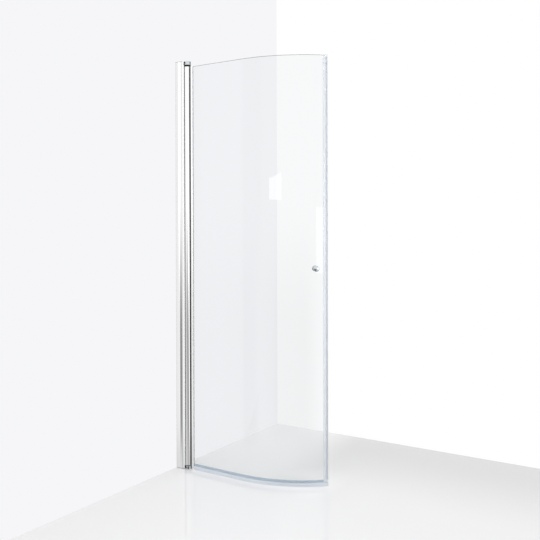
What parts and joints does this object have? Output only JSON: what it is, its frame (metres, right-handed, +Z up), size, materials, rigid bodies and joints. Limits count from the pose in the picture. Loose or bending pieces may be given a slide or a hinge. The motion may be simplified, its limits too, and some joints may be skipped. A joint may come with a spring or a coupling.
{
  "type": "pivot shower door",
  "caption": "Tall curved glass shower door leaf on a full-height pivot tube, hung on a wall profile, with pivot brackets, clip-on seals and round knobs.",
  "frame": {"origin": "on the wall plane and the centre line of the wall profile, at its foot on the shower tray", "axes": "+X out of the wall, +Y into the shower, +Z up along the profile"},
  "size_m": [0.7203, 0.1699, 1.9],
  "materials": {
    "polished_aluminium": "polished",
    "chrome": "polished",
    "steel": "plain",
    "grey_plastic": "satin",
    "black_plastic": "satin",
    "white_seal": "matt",
    "clear_seal": "clear",
    "magnet": "matt",
    "clear_glass": "clear"
  },
  "bodies": {
    "wall_frame": {"wall_channel": "polished_aluminium", "channel_top_cap": "grey_plastic", "channel_bottom_cap": "grey_plastic", "locking_screws": "steel", "locking_nuts": "steel", "locking_screw_caps": "grey_plastic"},
    "adjuster": {"adjusting_profile": "polished_aluminium", "outer_cradle_seal": "white_seal", "inner_cradle_seal": "white_seal", "top_pivot_bracket": "chrome", "bottom_pivot_bracket": "chrome", "top_bracket_screws": "steel", "bottom_bracket_screws": "steel", "top_pivot_pin": "steel", "bottom_pivot_pin": "steel", "top_grub_screw": "steel", "bottom_grub_screw": "steel", "thrust_washer": "black_plastic"},
    "leaf": {"pivot_tube": "polished_aluminium", "top_bush": "black_plastic", "bottom_bush": "black_plastic", "outer_glazing_gasket": "white_seal", "inner_glazing_gasket": "white_seal", "glass_panel": "clear_glass", "bottom_seal": "clear_seal", "edge_seal": "clear_seal", "magnet_strip": "magnet", "outer_knob": "chrome", "inner_knob": "chrome", "outer_knob_washer": "clear_seal", "inner_knob_washer": "clear_seal", "knob_stud": "steel", "glass_hole_sleeve": "clear_seal"}
  },
  "joints": [
    {"name": "width_adjustment", "type": "slide", "parent": "wall_frame", "child": "adjuster", "axis": [1, 0, 0], "range_m": [-0.004, 0.008]},
    {"name": "leaf_hinge", "type": "hinge", "parent": "adjuster", "child": "leaf", "pos_m": [0.058, 0, 0], "axis": [0, 0, 1], "range_deg": [-90, 75]}
  ]
}
